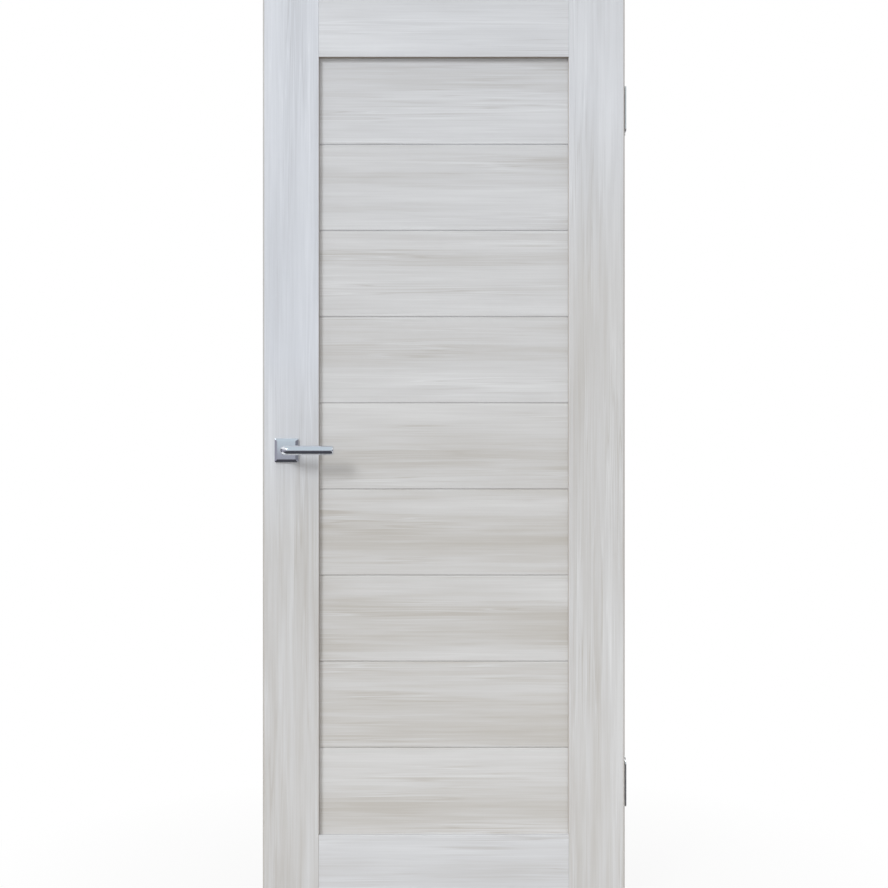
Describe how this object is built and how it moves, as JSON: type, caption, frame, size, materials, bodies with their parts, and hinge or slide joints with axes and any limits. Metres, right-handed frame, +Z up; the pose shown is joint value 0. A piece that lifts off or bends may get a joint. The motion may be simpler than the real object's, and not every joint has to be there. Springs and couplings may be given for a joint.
{
  "type": "interior door leaf",
  "caption": "Interior door leaf in pale wood veneer: stiles and rails around a recessed field of horizontal planks, with square-rose chrome levers, a latch and butt hinges.",
  "frame": {"origin": "on the jamb face of the bottom hinge, level with the middle of that hinge and of the leaf's thickness", "axes": "+X into the jamb on the hinge side, +Z up, front of the door towards -Y; the door opens towards +Y"},
  "size_m": [0.8077, 0.161, 2],
  "materials": {
    "stile_veneer": "satin",
    "rail_veneer": "satin",
    "plank_veneer": "satin",
    "lever_chrome": "polished",
    "hinge_steel": "satin",
    "latch_steel": "satin"
  },
  "bodies": {
    "jamb_side": {"bottom_hinge_jamb_leaf": "hinge_steel", "bottom_hinge_pin": "hinge_steel", "top_hinge_jamb_leaf": "hinge_steel", "top_hinge_pin": "hinge_steel"},
    "leaf": {"latch_stile": "stile_veneer", "hinge_stile": "stile_veneer", "top_rail": "rail_veneer", "bottom_rail": "rail_veneer", "plank_1": "plank_veneer", "plank_2": "plank_veneer", "plank_3": "plank_veneer", "plank_4": "plank_veneer", "plank_5": "plank_veneer", "plank_6": "plank_veneer", "plank_7": "plank_veneer", "plank_8": "plank_veneer", "plank_9": "plank_veneer", "bottom_hinge_door_leaf": "hinge_steel", "top_hinge_door_leaf": "hinge_steel", "front_rose": "lever_chrome", "back_rose": "lever_chrome", "latch_case": "latch_steel", "latch_bolt": "latch_steel"},
    "lever_set": {"front_lever": "lever_chrome", "back_lever": "lever_chrome", "spindle": "latch_steel"}
  },
  "joints": [
    {"name": "door_swing", "type": "hinge", "parent": "jamb_side", "child": "leaf", "pos_m": [-0.00375, 0.027, 0], "axis": [0, 0, -1], "range_deg": [0, 170]},
    {"name": "lever_turn", "type": "hinge", "parent": "leaf", "child": "lever_set", "pos_m": [-0.752, 0, 0.741], "axis": [0, 1, 0], "range_deg": [0, 45], "stiffness_Nm_per_rad": 1, "springref_deg": -28.65}
  ]
}
